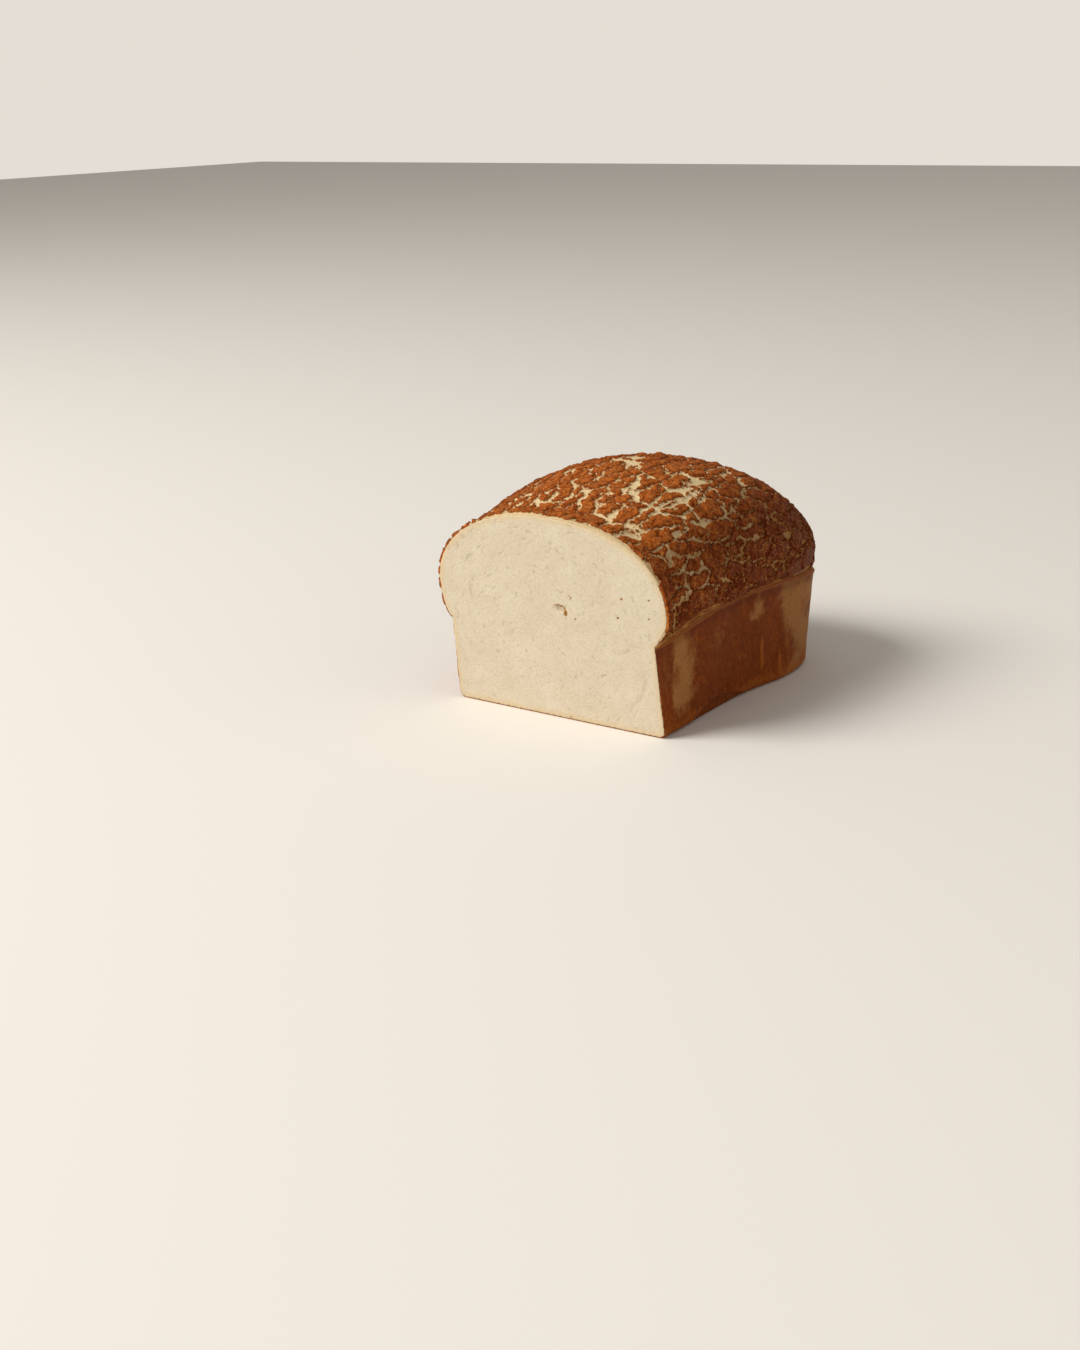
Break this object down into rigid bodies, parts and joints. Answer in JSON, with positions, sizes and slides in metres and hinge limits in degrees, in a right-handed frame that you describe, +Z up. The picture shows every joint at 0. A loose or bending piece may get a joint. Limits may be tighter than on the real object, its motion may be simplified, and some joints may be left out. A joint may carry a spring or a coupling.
{
  "type": "tin loaf",
  "caption": "Cut white tin loaf with a domed crown of crackled baked paste, smooth tin-baked sides and a flat base to stand on.",
  "frame": {"origin": "middle of the box round the loaf, on the surface that it stands on", "axes": "+Y along the loaf from the cut face to the far end, +X across to the right as seen from the cut, +Z up"},
  "size_m": [0.1678, 0.2143, 0.1346],
  "materials": {
    "crust": "matt baked crust with a satin bloom"
  },
  "bodies": {
    "root": {"loaf": "crust"}
  },
  "joints": []
}
